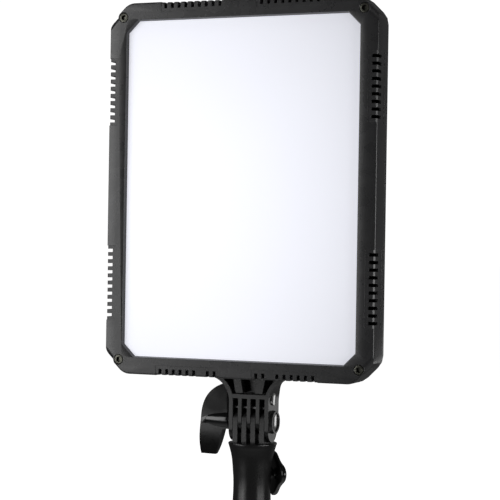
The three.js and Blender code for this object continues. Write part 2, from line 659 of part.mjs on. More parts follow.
/** The lever's hub: a bullet shape along the tilt axis, outlined as radius and distance from its near end. */
function leverHub() {
  const outline = [
    [0, 0], [8.6, 0], [9.4, 0.8], [9.4, 4], [9, 9], [8.3, 16],
    [7.4, 21], [6.6, 24.5], [5.2, 27.6], [3, 29.3], [0, 29.8],
  ];
  const geometry = new THREE.LatheGeometry(outline.map(([r, h]) => new THREE.Vector2(r, h)), 24);
  geometry.rotateZ(Math.PI / 2);
  geometry.translate(LEVER.nearX, 0, 0);
  return solid(geometry);
}

function tiltLever() {
  return cut(
    join(leverHub(), leverBlade()),
    rod('x', LEVER.insertR + GAP, LEVER.insertEndX - GAP, -20, [0, 0], 24),
    rod('x', BOLT.bore, BOLT.endX - 1, -20, [0, 0], 20),
  );
}

const addBracket = (name, body, look) => piece(bracketGroup, name, body, look);
const tube = (outerR, innerR, from, to, at = [0, 0], sides = 20) => (
  cut(rod('x', outerR, from, to, at, sides), rod('x', innerR, from - 1, to + 1, at, sides))
);

addBracket('tilt_bracket', tiltBracket(), MATERIALS.bracket);
plateScrewPlaces().forEach((at, i) => {
  addBracket(`bracket_screw_${i + 1}`, bracketScrew(at), MATERIALS.blackScrew);
});
addBracket('tilt_bolt', tiltBolt(), MATERIALS.plated);
addBracket('lever_washer', tube(8.4, BOLT.bore, -22.6, -21.2), MATERIALS.plated);
addBracket('lever_insert', tube(LEVER.insertR, BOLT.bore, LEVER.insertEndX, -23.2), MATERIALS.brass);
addBracket('tilt_lever', tiltLever(), MATERIALS.grip);

/** The plated plug pressed into an ear, with its face just proud of the ear. */
function earPlug(side) {
  const { radius, y, z } = EAR_PLUG;
  const plug = rod('x', radius, EAR.inner + 0.4, EAR_PLUG.faceX, [y, z], 24);
  return side > 0 ? plug : plug.mirror([1, 0, 0]);
}

addBracket('ear_plug_left', earPlug(-1), MATERIALS.plated);
addBracket('ear_plug_right', earPlug(1), MATERIALS.plated);

// ---------------------------------------------------------------- stand receiver
// Its group's origin is the middle of the socket's mouth.
function lowerFinger(x) {
  const { radius } = COMB;
  const shape = new THREE.Shape();
  shape.absarc(0, PIVOT_Z, radius, 0, Math.PI, false);
  shape.lineTo(-radius, RECEIVER.collarTop - 1);
  shape.lineTo(radius, RECEIVER.collarTop - 1);
  shape.closePath();
  const half = RECEIVER.finger / 2;
  return prism('x', shape, x - half, x + half, { curve: 6 });
}

/** A body drawn along +X, turned to the clamp screw's direction: to the right and the rear. */
const towardLock = (body) => body.rotate([0, 0, LOCK.turnDeg]);

function standReceiver() {
  const top = RECEIVER.collarTop;
  const waist = new THREE.SplineCurve([
    [19.4, 1.2], [18.5, 30], [19.3, 46.4], [20.5, 58], [22.3, 66], [24.2, top - 0.8],
  ].map(([r, z]) => new THREE.Vector2(r, z))).getPoints(10).map((p) => [p.x, p.y]);
  const body = turned([[0, 0], [18.4, 0], ...waist, [23.6, top], [0, top]]);
  const boss = towardLock(rod('x', LOCK.bossR, 12, LOCK.bossEnd, [0, LOCK.z], 24));
  const socket = rod('z', RECEIVER.socketR, -1, RECEIVER.socketDepth, [0, 0], 32);
  return cut(
    join(body, boss, ...lowerFingers.map(lowerFinger)),
    socket,
    towardLock(rod('x', LOCK.padR + GAP, 0, 11.6, [0, LOCK.z], 24)),
    towardLock(rod('x', LOCK.screwR + GAP, 5, 30, [0, LOCK.z], 20)),
    rod('x', BOLT.bore, -30, 30, [0, PIVOT_Z], 20),
  );
}

/** The clamp knob's three-lobed outline, drawn in (y, z). */
function knobOutline() {
  const { mean, swing, ripple, firstLobeDeg } = LOCK_KNOB;
  const first = THREE.MathUtils.degToRad(firstLobeDeg);
  return drawing(
    Array.from({ length: 36 }, (_, i) => {
      const angle = first + (i * Math.PI) / 18;
      const turn = 3 * (angle - first);
      const radius = mean + swing * Math.cos(turn) + ripple * Math.cos(2 * turn);
      return [radius * Math.cos(angle), LOCK.z + radius * Math.sin(angle)];
    }),
  );
}

function lockKnob() {
  const disc = prism('x', knobOutline(), LOCK.knobFrom, LOCK.knobTo, { bevel: LOCK_KNOB.rim });
  return cut(disc, rod('x', LOCK.screwR + GAP, 20, LOCK.knobTo - 1.6, [0, LOCK.z], 20));
}

const addReceiver = (name, body, look) => piece(receiverGroup, name, body, look);
const lockScrew = rod('x', LOCK.screwR, 11.9, LOCK.knobTo - 1.9, [0, LOCK.z], 20);
const pressurePad = rod('x', LOCK.padR, 8.3, 11.1, [0, LOCK.z], 24);

addReceiver('stand_receiver', standReceiver(), MATERIALS.bracket);
addReceiver('pressure_pad', towardLock(pressurePad), MATERIALS.plated);
addReceiver('stand_lock_screw', towardLock(lockScrew), MATERIALS.plated);
addReceiver('stand_lock_knob', towardLock(lockKnob()), MATERIALS.grip);

export default light;
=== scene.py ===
"""The looks of an LED panel light on its tilting stand bracket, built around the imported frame.

Shapes are drawn in millimetres in the frame's own axes: +Z up, the light faces -Y. Sizes that the
frame knows are read from its nodes' boxes. The rest are named below.
"""

import json
import math

import bmesh
import bpy
from mathutils import Matrix, Vector

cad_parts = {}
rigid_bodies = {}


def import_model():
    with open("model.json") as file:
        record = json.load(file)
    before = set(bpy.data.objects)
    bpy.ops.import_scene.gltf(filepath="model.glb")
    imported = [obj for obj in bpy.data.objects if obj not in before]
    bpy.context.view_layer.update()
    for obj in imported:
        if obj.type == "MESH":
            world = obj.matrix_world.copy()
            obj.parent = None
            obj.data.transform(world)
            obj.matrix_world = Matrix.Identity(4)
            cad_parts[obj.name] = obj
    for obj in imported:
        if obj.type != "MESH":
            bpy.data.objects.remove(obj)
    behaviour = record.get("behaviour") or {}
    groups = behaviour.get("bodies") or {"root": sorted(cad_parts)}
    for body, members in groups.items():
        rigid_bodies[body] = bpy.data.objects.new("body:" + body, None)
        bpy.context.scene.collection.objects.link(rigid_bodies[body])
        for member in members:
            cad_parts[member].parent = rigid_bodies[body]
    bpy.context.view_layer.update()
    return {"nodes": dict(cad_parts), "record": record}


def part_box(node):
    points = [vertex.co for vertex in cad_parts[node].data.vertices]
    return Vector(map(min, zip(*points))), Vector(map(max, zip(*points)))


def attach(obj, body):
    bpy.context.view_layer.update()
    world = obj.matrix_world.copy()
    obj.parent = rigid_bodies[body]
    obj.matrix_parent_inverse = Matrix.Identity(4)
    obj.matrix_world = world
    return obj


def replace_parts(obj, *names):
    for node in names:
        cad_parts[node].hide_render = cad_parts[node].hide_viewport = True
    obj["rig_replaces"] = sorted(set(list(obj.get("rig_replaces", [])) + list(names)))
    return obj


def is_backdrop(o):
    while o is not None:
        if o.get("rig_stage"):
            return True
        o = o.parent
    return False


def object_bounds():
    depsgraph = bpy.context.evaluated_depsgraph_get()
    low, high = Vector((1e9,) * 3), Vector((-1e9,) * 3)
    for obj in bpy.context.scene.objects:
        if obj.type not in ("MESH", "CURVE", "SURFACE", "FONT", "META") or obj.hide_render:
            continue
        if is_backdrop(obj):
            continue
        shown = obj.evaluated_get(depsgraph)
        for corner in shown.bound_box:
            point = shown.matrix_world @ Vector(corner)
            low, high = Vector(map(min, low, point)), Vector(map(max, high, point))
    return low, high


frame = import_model()

MM = 0.001


def box_mm(node):
    lo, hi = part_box(node)
    return lo / MM, hi / MM


# ------------------------------------------------------------------ dimensions, in millimetres
FRAME_LO, FRAME_HI = box_mm("front_frame")
FRONT_Y = FRAME_LO.y
PANEL_Z = (FRAME_LO.z + FRAME_HI.z) / 2
PANEL_WIDTH = FRAME_HI.x - FRAME_LO.x
PANEL_HEIGHT = FRAME_HI.z - FRAME_LO.z
FRAME_DEPTH = FRAME_HI.y - FRAME_LO.y
CORNER_LEG = 19.6
CORNER_ROUND = 7.0
EDGE_ROUND = 1.5
WALL = 2.2
FRONT_PLATE = 2.5
OPENING = {"width": 240.0, "height": 330.4, "leg": 11.6, "depth": 4.5, "flare": 1.0}
CORNER = {"crease": 207.0, "face": 213.8, "block": 203.0}
VENT = {"width": 3.2, "reach_front": 6.4, "reach_side": 12.0, "side_pitch": 7.1, "end_pitch": 7.2,
        "upper": 67.2, "upper_count": 9, "lower": -61.4, "lower_count": 10, "end": 21.6, "end_count": 9,
        "absent_below": 2}
BED = {"depth": 0.4, "reach_front": 9.7, "reach_side": 21.0, "margin": 4.8}
SCREW_AT = box_mm("frame_screw_top_right")
SCREW_X = (SCREW_AT[0].x + SCREW_AT[1].x) / 2
SCREW_Z = (SCREW_AT[0].z + SCREW_AT[1].z) / 2 - PANEL_Z
HEAD_RADIUS = (SCREW_AT[1].x - SCREW_AT[0].x) / 2
BOSS_RADIUS = 6.0
SCREW_HOLE_RADIUS = 2.7
QUADRANTS = {"top_left": (-1, 1), "top_right": (1, 1), "bottom_left": (-1, -1), "bottom_right": (1, -1)}

BOLT_LO, BOLT_HI = box_mm("tilt_bolt")
PIVOT_Z = (BOLT_LO.z + BOLT_HI.z) / 2
EAR = {"inner": 16.9, "outer": 20.9, "half_depth": 12.5, "rear_y": 16.2, "drop": 20.0,
       "flare_radius": 24.0, "flare_z": 19.8}
COMB = {"pitch": 9.4, "finger": 3.6, "radius": 12.3, "bar_z": 23.0, "bar_top": 27.0,
        "wall_y": 12.7, "wall_z": 12.4}
PLATE = {"half_width": 46.0, "z0": 46.0, "z1": 104.0, "thickness": 4.0,
         "screw_x": 33.0, "screw_z": (61.0, 92.0), "screw_bore": 2.5, "screw_seat": 5.2}
BEYOND = 60.0  # far enough out for a tool to pass right through the bracket
PLUG = {"y": -0.8, "z": 22.8, "radius": 6.2, "face_x": 22.4}
CUP = {"radius": 11.0, "outer_x": 24.5, "floor_x": 18.7}
BOLT = {"radius": 5.0, "bore": 5.3, "across_flats": 17.0, "head_x": 19.0}
LEVER = {"near_x": -22.9, "insert_bore": 7.2, "insert_end_x": -31.3, "reach": 40.0,
         "tip_half": 1.7, "middle_half": 5.75}
COLLAR_TOP = PIVOT_Z - 21.0
SOCKET_RADIUS = 8.1
SOCKET_DEPTH = 58.0
RECEIVER_FINGER = 4.8
LOCK_Z = PIVOT_Z - 52.6
LOCK = {"turn": 40.0, "boss_radius": 5.6, "boss_end": 21.2, "pad_bore": 6.0, "screw_bore": 3.3}
KNOB = {"mean": 19.2, "swing": 4.6, "ripple": 0.65, "first_lobe": 55.0, "near": 22.8, "far": 29.1,
        "inner_rim": 2.0, "outer_rim": 2.4, "dome": 0.9}


# ------------------------------------------------------------------ outlines
def arc(a, b, radius, start_deg, end_deg, steps):
    angles = [math.radians(start_deg + (end_deg - start_deg) * i / steps) for i in range(steps + 1)]
    return [(a + radius * math.cos(t), b + radius * math.sin(t)) for t in angles]


def bezier(p0, p1, p2, p3, steps):
    """Points along a cubic curve, without its first one."""
    points = []
    for i in range(1, steps + 1):
        t = i / steps
        weights = ((1 - t) ** 3, 3 * t * (1 - t) ** 2, 3 * t * t * (1 - t), t ** 3)
        points.append(tuple(sum(w * p[k] for w, p in zip(weights, (p0, p1, p2, p3))) for k in (0, 1)))
    return points


def spline(points, steps):
    """Points on a smooth curve through the given ones."""
    ends = [points[0]] + points + [points[-1]]
    curve = []
    for i in range(1, len(ends) - 2):
        p0, p1, p2, p3 = (Vector(p) for p in ends[i - 1:i + 3])
        for k in range(steps):
            t = k / steps
            once = (p2 - p0) * t
            twice = (2 * p0 - 5 * p1 + 4 * p2 - p3) * t ** 2
            thrice = (3 * p1 - p0 - 3 * p2 + p3) * t ** 3
            curve.append(tuple(0.5 * (2 * p1 + once + twice + thrice)))
    return curve + [tuple(points[-1])]


def rounded(corners, length, steps=5):
    """A closed outline whose corners are curves that start a set length before each one."""
    outline = []
    for i, corner in enumerate(corners):
        corner = Vector(corner)
        before = Vector(corners[i - 1]) - corner
        after = Vector(corners[(i + 1) % len(corners)]) - corner
        start = corner + before.normalized() * length
        end = corner + after.normalized() * length
        for k in range(steps + 1):
            t = k / steps
            outline.append(tuple(start * (1 - t) ** 2 + corner * (2 * t * (1 - t)) + end * t * t))
    return outline


def rectangle(width, height, a=0.0, b=0.0):
    w, h = width / 2, height / 2
    return [(a - w, b - h), (a + w, b - h), (a + w, b + h), (a - w, b + h)]


def clipped_rectangle(width, height, leg, length=0.4, steps=5):
    """A rectangle with 45 degree corners, about the panel's centre."""
    w, h = width / 2, height / 2
    corners = [(w, -h + leg), (w, h - leg), (w - leg, h), (-w + leg, h),
               (-w, h - leg), (-w, -h + leg), (-w + leg, -h), (w - leg, -h)]
    return rounded(corners, length, steps)


def mirrored(outline):
    return [(-a, b) for a, b in reversed(outline)]


# ------------------------------------------------------------------ solids, still in millimetres
# For each axis that a drawing is extruded along: the axes of its right, its up and the extrusion.
AXES = {"x": (1, 2, 0), "y": (0, 2, 1), "z": (0, 1, 2)}


def placed(axis, outline, along):
    right, up, out = AXES[axis]
    points = []
    for a, b in outline:
        point = [0.0, 0.0, 0.0]
        point[right], point[up], point[out] = a, b, along
        points.append(point)
    return points


def solid(name, bm):
    bmesh.ops.recalc_face_normals(bm, faces=bm.faces)
    mesh = bpy.data.meshes.new(name)
    bm.to_mesh(mesh)
    bm.free()
    obj = bpy.data.objects.new(name, mesh)
    bpy.context.scene.collection.objects.link(obj)
    return obj


def loft(loops, closed=False, name="solid"):
    """A skin through loops that all have the same number of points, capped unless it closes on itself."""
    bm = bmesh.new()
    rows = [[bm.verts.new(point) for point in loop] for loop in loops]
    pairs = list(zip(rows, rows[1:]))
    if closed:
        pairs.append((rows[-1], rows[0]))
    for one, two in pairs:
        for i in range(len(one)):
            bm.faces.new((one[i - 1], one[i], two[i], two[i - 1]))
    if not closed:
        bm.faces.new(rows[0])
        bm.faces.new(rows[-1])
    return solid(name, bm)


def prism(axis, outline, start, end):
    return loft([placed(axis, outline, start), placed(axis, outline, end)])


def block(low, high):
    (x0, y0, z0), (x1, y1, z1) = low, high
    return prism("z", [(x0, y0), (x1, y0), (x1, y1), (x0, y1)], z0, z1)


def turned(axis, profile, at=(0.0, 0.0), sides=64):
    """A profile of (radius, distance along the axis) turned about it, with flat ends."""
    return loft([placed(axis, arc(*at, radius, 0, 360 * (1 - 1 / sides), sides - 1), along)
                 for radius, along in profile])


def rod(axis, radius, start, end, at=(0.0, 0.0), sides=64):
    return turned(axis, [(radius, start), (radius, end)], at, sides)


def hex_bar(axis, across, start, end, at=(0.0, 0.0)):
    corner = across / math.sqrt(3)
    outline = [(at[0] + corner * math.cos(t), at[1] + corner * math.sin(t))
               for t in (math.radians(30 + 60 * i) for i in range(6))]
    return prism(axis, outline, start, end)


def together(tools):
    """Tools that don't touch each other, as one object."""
    bm = bmesh.new()
    for tool in tools:
        bm.from_mesh(tool.data)
        bpy.data.objects.remove(tool)
    return solid("tools", bm)


def combine(base, operation, *tools):
    """Joins, cuts or intersects base with each tool in turn, and removes the tools."""
    for tool in tools:
        modifier = base.modifiers.new("combine", "BOOLEAN")
        modifier.operation = operation
        modifier.solver = "MANIFOLD"
        modifier.object = tool
        graph = bpy.context.evaluated_depsgraph_get()
        mesh = bpy.data.meshes.new_from_object(base.evaluated_get(graph))
        base.modifiers.clear()
        base.data = mesh
        bpy.data.objects.remove(tool)
    return base


def cut(base, *tools):
    return combine(base, "DIFFERENCE", *tools)


def join(base, *tools):
    return combine(base, "UNION", *tools)


def common(base, *tools):
    return combine(base, "INTERSECT", *tools)


# ------------------------------------------------------------------ pieces that are shown
def shade(obj, edge_angle=35):
    mesh = obj.data
    mesh.polygons.foreach_set("use_smooth", [True] * len(mesh.polygons))
    mesh.set_sharp_from_angle(angle=math.radians(edge_angle))


def soften(obj, width, segments=2, angle=35):
    """Rounds the sharp edges by a width in millimetres."""
    bevel = obj.modifiers.new("soft edges", "BEVEL")
    bevel.width = width * MM
    bevel.segments = segments
    bevel.limit_method = "ANGLE"
    bevel.angle_limit = math.radians(angle)
    bevel.harden_normals = True
    bevel.miter_outer = "MITER_ARC"


def piece(obj, name, nodes, look, edge=0.0, segments=2):
    """Makes a solid a shown piece, in metres, that stands for CAD nodes and moves with their body."""
    bm = bmesh.new()
    bm.from_mesh(obj.data)
    bmesh.ops.remove_doubles(bm, verts=bm.verts, dist=0.002)
    bmesh.ops.dissolve_limit(bm, angle_limit=math.radians(0.5), verts=bm.verts, edges=bm.edges)
    bmesh.ops.scale(bm, vec=(MM, MM, MM), verts=bm.verts)
    bm.to_mesh(obj.data)
    bm.free()
    obj.name = name
    obj.data.materials.clear()
    obj.data.materials.append(MATERIALS[look])
    shade(obj)
    if edge:
        soften(obj, edge, segments)
    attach(obj, NODE_BODY[nodes[0]])
    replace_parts(obj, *nodes)
    return obj


def dress(node, edge=0.0, segments=2):
    """Gives a CAD node that stays its material and soft edges."""
    obj = frame["nodes"][node]
    obj.data.materials.clear()
    obj.data.materials.append(MATERIALS[NODE_SLOT[node]])
    if "custom_normal" in obj.data.attributes:
        obj.data.attributes.remove(obj.data.attributes["custom_normal"])
    obj.data.polygons.foreach_set("use_smooth", [False] * len(obj.data.polygons))
    weld = obj.modifiers.new("weld", "WELD")
    weld.merge_threshold = 0.005 * MM
    flat = obj.modifiers.new("flat faces", "DECIMATE")
    flat.decimate_type = "DISSOLVE"
    flat.angle_limit = math.radians(1)
    if edge:
        soften(obj, edge, segments)
    smooth_by_angle(obj)
    return obj


def smooth_by_angle(obj, angle=35):
    """Smooth shading across edges below an angle, as a modifier so that it follows the others."""
    obj.data.polygons.foreach_set("use_smooth", [True] * len(obj.data.polygons))
    if not any(m.type == "BEVEL" for m in obj.modifiers):
        split = obj.modifiers.new("crisp edges", "EDGE_SPLIT")
        split.split_angle = math.radians(angle)


NODE_BODY = {node: body for body, nodes in frame["record"]["behaviour"]["bodies"].items() for node in nodes}
NODE_SLOT = {part["node"]: part["material_slot"] for part in frame["record"]["subparts"]}


# ------------------------------------------------------------------ materials
def nodes_of(name):
    material = bpy.data.materials.new(name)
    material.use_nodes = True
    tree = material.node_tree
    return material, tree, tree.nodes["Principled BSDF"]


def add(tree, kind, **values):
    """A new shader node with some of its properties and input values set."""
    node = tree.nodes.new(kind)
    for key, value in values.items():
        if key in node.inputs:
            node.inputs[key].default_value = value
        else:
            setattr(node, key, value)
    return node


def spots(tree, scale, detail=3.0, roughness=0.55):
    """Noise in the object's own space, with a scale in features per millimetre."""
    where = add(tree, "ShaderNodeTexCoord")
    noise = add(tree, "ShaderNodeTexNoise", Scale=scale / MM, Detail=detail, Roughness=roughness)
    tree.links.new(where.outputs["Object"], noise.inputs["Vector"])
    return noise.outputs["Fac"]


def between(tree, fac, low, high, start=0.3, end=0.7):
    """A value that runs from low to high as fac runs from start to end."""
    node = add(tree, "ShaderNodeMapRange")
    for index, value in ((1, start), (2, end), (3, low), (4, high)):
        node.inputs[index].default_value = value
    tree.links.new(fac, node.inputs[0])
    return node.outputs[0]


def blend_colours(tree, fac, one, two):
    mix = add(tree, "ShaderNodeMix", data_type="RGBA")
    mix.inputs[6].default_value = (*one, 1)
    mix.inputs[7].default_value = (*two, 1)
    tree.links.new(fac, mix.inputs[0])
    return mix.outputs[2]


def multiply(tree, one, two):
    node = add(tree, "ShaderNodeMath", operation="MULTIPLY")
    tree.links.new(one, node.inputs[0])
    if isinstance(two, float):
        node.inputs[1].default_value = two
    else:
        tree.links.new(two, node.inputs[1])
    return node.outputs[0]


def edge_mask(tree, radius):
    """1 on edges, 0 on flats: how far a rounded normal turns from the true one."""
    soft = add(tree, "ShaderNodeBevel", samples=4, Radius=radius * MM)
    true = add(tree, "ShaderNodeNewGeometry")
    dot = add(tree, "ShaderNodeVectorMath", operation="DOT_PRODUCT")
    tree.links.new(soft.outputs[0], dot.inputs[0])
    tree.links.new(true.outputs["Normal"], dot.inputs[1])
    return between(tree, dot.outputs["Value"], 1.0, 0.0, 0.75, 0.995)


def relief(tree, shader, height, depth, strength=1.0, rounding=0.0):
    bump = add(tree, "ShaderNodeBump", Strength=strength, Distance=depth * MM)
    tree.links.new(height, bump.inputs["Height"])
    if rounding:
        soft = add(tree, "ShaderNodeBevel", samples=4, Radius=rounding * MM)
        tree.links.new(soft.outputs[0], bump.inputs["Normal"])
    tree.links.new(bump.outputs[0], shader.inputs["Normal"])


def coated(name, colour, worn, rough, grain, depth, specular=0.35, rounding=0.0):
    """A dark moulded or painted surface: fine grain, uneven gloss, and edges that are a little worn."""
    material, tree, shader = nodes_of(name)
    shader.inputs["Specular IOR Level"].default_value = specular
    cloudy = spots(tree, 0.02, 4.0)
    edges = multiply(tree, edge_mask(tree, 0.5), between(tree, spots(tree, 0.25), 0.2, 1.0))
    base = blend_colours(tree, between(tree, cloudy, 0.0, 1.0), colour, tuple(1.25 * c for c in colour))
    mix = add(tree, "ShaderNodeMix", data_type="RGBA")
    tree.links.new(edges, mix.inputs[0])
    tree.links.new(base, mix.inputs[6])
    mix.inputs[7].default_value = (*worn, 1)
    tree.links.new(mix.outputs[2], shader.inputs["Base Color"])
    gloss = between(tree, spots(tree, 0.06), rough[0], rough[1])
    tree.links.new(gloss, shader.inputs["Roughness"])
    relief(tree, shader, spots(tree, grain, 2.0), depth, 0.6, rounding)
    return material


def metal(name, colour, rough, grain=1.5, depth=0.004):
    material, tree, shader = nodes_of(name)
    shader.inputs["Metallic"].default_value = 1.0
    darker = tuple(0.85 * c for c in colour)
    tint = blend_colours(tree, between(tree, spots(tree, 0.3), 0.0, 1.0), colour, darker)
    tree.links.new(tint, shader.inputs["Base Color"])
    tree.links.new(between(tree, spots(tree, 0.8), rough[0], rough[1]), shader.inputs["Roughness"])
    relief(tree, shader, spots(tree, grain, 4.0), depth, 0.5)
    return material


def scaled_square(tree, value, middle, reach):
    """The square of a coordinate's distance from a middle, in units of reach, both in millimetres."""
    offset = add(tree, "ShaderNodeMath", operation="SUBTRACT")
    tree.links.new(value, offset.inputs[0])
    offset.inputs[1].default_value = middle * MM
    share = multiply(tree, offset.outputs[0], 1 / (reach * MM))
    return multiply(tree, share, share)


def opal():
    """The lit diffuser: bluish white, with painted shade in its glow, which is brightest left of its middle
    and painted dimmer towards its ends and right side.
    """
    material, tree, shader = nodes_of("opal")
    where = add(tree, "ShaderNodeTexCoord")
    split = add(tree, "ShaderNodeSeparateXYZ")
    tree.links.new(where.outputs["Object"], split.inputs[0])
    # Painted shade: the glow falls off with distance from a point left of and below the middle, so the ends
    # and the right side are painted darker.
    across = multiply(tree, scaled_square(tree, split.outputs[0], -86, 120), -DIFFUSER_GLOW_AND_SHADE["across"])
    upright = multiply(tree, scaled_square(tree, split.outputs[2], PANEL_Z - 22, 165), -DIFFUSER_GLOW_AND_SHADE["upright"])
    total = add(tree, "ShaderNodeMath", operation="ADD")
    tree.links.new(across, total.inputs[0])
    tree.links.new(upright, total.inputs[1])
    glow = add(tree, "ShaderNodeMath", operation="ADD")
    tree.links.new(total.outputs[0], glow.inputs[0])
    glow.inputs[1].default_value = DIFFUSER_GLOW_AND_SHADE["middle"]
    tree.links.new(glow.outputs[0], shader.inputs["Emission Strength"])
    shader.inputs["Emission Color"].default_value = (*DIFFUSER_GLOW_AND_SHADE["tint"], 1)
    cloudy = between(tree, spots(tree, 0.008, 1.0), 0.0, 1.0)
    tint = blend_colours(tree, cloudy, (0.60, 0.61, 0.66), (0.58, 0.59, 0.65))
    tree.links.new(tint, shader.inputs["Base Color"])
    shader.inputs["Specular IOR Level"].default_value = 0.3
    tree.links.new(between(tree, spots(tree, 0.05), 0.40, 0.46), shader.inputs["Roughness"])
    relief(tree, shader, spots(tree, 4.0, 1.0), 0.002, 0.3)
    return material


def plain_sheet(name, colour, other, rough, scale=0.2):
    material, tree, shader = nodes_of(name)
    tint = blend_colours(tree, between(tree, spots(tree, scale), 0.0, 1.0), colour, other)
    tree.links.new(tint, shader.inputs["Base Color"])
    gloss = between(tree, spots(tree, scale * 3), rough - 0.05, rough + 0.05)
    tree.links.new(gloss, shader.inputs["Roughness"])
    relief(tree, shader, spots(tree, 3.0, 2.0), 0.003, 0.4)
    return material


# The middle glow is the panel's own light; the fall-off across and upright is painted shade.
DIFFUSER_GLOW_AND_SHADE = {"middle": 0.76, "across": 0.07, "upright": 0.11, "tint": (0.92, 0.93, 1.0)}
MATERIALS = {
    "housing": coated(
        "housing", colour=(0.024, 0.024, 0.025), worn=(0.05, 0.05, 0.052),
        rough=(0.24, 0.32), grain=2.4, depth=0.006, specular=0.5, rounding=0.35),
    "bracket": coated(
        "bracket", colour=(0.014, 0.014, 0.014), worn=(0.04, 0.04, 0.04),
        rough=(0.20, 0.27), grain=1.1, depth=0.012, specular=0.55),
    "grip": coated(
        "grip", colour=(0.006, 0.006, 0.006), worn=(0.02, 0.02, 0.02),
        rough=(0.15, 0.20), grain=3.0, depth=0.004, specular=0.55),
    "black_screw": metal("black_screw", (0.10, 0.10, 0.085), (0.28, 0.40)),
    "plated": metal("plated", (0.86, 0.86, 0.85), (0.10, 0.20), 2.0, 0.002),
    "opal": opal(),
    "film": plain_sheet("film", (0.90, 0.90, 0.90), (0.86, 0.86, 0.86), 0.7),
    "acrylic": plain_sheet("acrylic", (0.80, 0.86, 0.88), (0.76, 0.84, 0.86), 0.1),
    "board": plain_sheet("board", (0.015, 0.10, 0.045), (0.02, 0.14, 0.06), 0.5, 0.6),
    "aluminium": metal("aluminium", (0.62, 0.63, 0.64), (0.30, 0.42)),
    "brass": metal("brass", (0.62, 0.44, 0.20), (0.25, 0.35)),
    "black_plastic": coated(
        "black_plastic", colour=(0.014, 0.014, 0.015), worn=(0.03, 0.03, 0.03),
        rough=(0.35, 0.42), grain=3.0, depth=0.006),
    "display_glass": plain_sheet("display_glass", (0.008, 0.010, 0.012), (0.010, 0.012, 0.016), 0.08),
}


# ------------------------------------------------------------------ front frame
def panel_loop(outline, depth):
    """A loop of the panel's outline, raised to the panel's centre, at a depth behind its front face."""
    return [[x, FRONT_Y + depth, PANEL_Z + z] for x, z in outline]


def offset_outline(inward, leg=CORNER_LEG, length=CORNER_ROUND):
    """The panel's outline moved inwards."""
    return clipped_rectangle(
        PANEL_WIDTH - 2 * inward, PANEL_HEIGHT - 2 * inward,
        leg - (2 - math.sqrt(2)) * inward, length - math.tan(math.pi / 8) * inward, 8)


def opening_outline(grow):
    """The window's outline, moved outwards with its clipped corners kept parallel."""
    width, height, leg = OPENING["width"], OPENING["height"], OPENING["leg"]
    leg_growth = 0.586
    return clipped_rectangle(width + 2 * grow, height + 2 * grow, leg + leg_growth * grow, 0.6, 8)


def frame_shell():
    """The frame's section swept round the panel: side wall, rounded edge, bezel, recess lip and hollow."""
    loops = [panel_loop(offset_outline(0), FRAME_DEPTH)]
    for step in range(7):
        angle = math.radians(15 * step)
        inward = EDGE_ROUND * (1 - math.cos(angle))
        loops.append(panel_loop(offset_outline(inward), EDGE_ROUND * (1 - math.sin(angle))))
    lip = 0.5
    for step in range(4):
        angle = math.radians(30 * step)
        grow = OPENING["flare"] + lip * (1 - math.sin(angle))
        loops.append(panel_loop(opening_outline(grow), lip * (1 - math.cos(angle))))
    depth = OPENING["depth"]
    loops.append(panel_loop(opening_outline(0), depth))
    loops.append(panel_loop(opening_outline(2.5), depth))
    loops.append(panel_loop(opening_outline(2.5), FRONT_PLATE))
    cavity_leg = (PANEL_WIDTH + PANEL_HEIGHT) / 2 - 2 * WALL - CORNER["block"] * math.sqrt(2)
    cavity = clipped_rectangle(PANEL_WIDTH - 2 * WALL, PANEL_HEIGHT - 2 * WALL, cavity_leg, 0.6, 8)
    loops.append(panel_loop(cavity, FRONT_PLATE))
    loops.append(panel_loop(cavity, FRAME_DEPTH))
    return loft(loops, closed=True, name="front_frame")


def edge_tool(edge, profile, start, end):
    """A tool drawn across an edge of the panel, as (distance inwards, depth), and swept along the edge."""
    sign = 1 if edge in ("right", "top") else -1
    upright = edge in ("left", "right")
    half = (PANEL_WIDTH if upright else PANEL_HEIGHT) / 2
    if upright:
        outline = [(sign * (half - inward), FRONT_Y + depth) for inward, depth in profile]
        return prism("z", outline, PANEL_Z + start, PANEL_Z + end)
    outline = [(FRONT_Y + depth, PANEL_Z + sign * (half - inward)) for inward, depth in profile]
    return prism("x", outline, start, end)


def vent_places():
    """Each slot's edge and its distance along it; the lower groups lack one slot."""
    pitch, end_pitch = VENT["side_pitch"], VENT["end_pitch"]
    places = []
    for side in ("left", "right"):
        places += [(side, VENT["upper"] + i * pitch) for i in range(VENT["upper_count"])]
        places += [(side, VENT["lower"] - i * pitch) for i in range(VENT["lower_count"])]
    for sign in (-1, 1):
        ends = [sign * (VENT["end"] + i * end_pitch) for i in range(VENT["end_count"])]
        places += [("top", at) for at in ends]
        places += [("bottom", at) for i, at in enumerate(ends) if i != VENT["absent_below"]]
    return places


def vent_tools():
    reach, side = VENT["reach_front"], VENT["reach_side"]
    profile = [(reach, -1), (-2, -1), (-2, side), (4, side), (4, 4), (reach, 4)]
    half = VENT["width"] / 2
    return together([edge_tool(edge, profile, at - half, at + half) for edge, at in vent_places()])


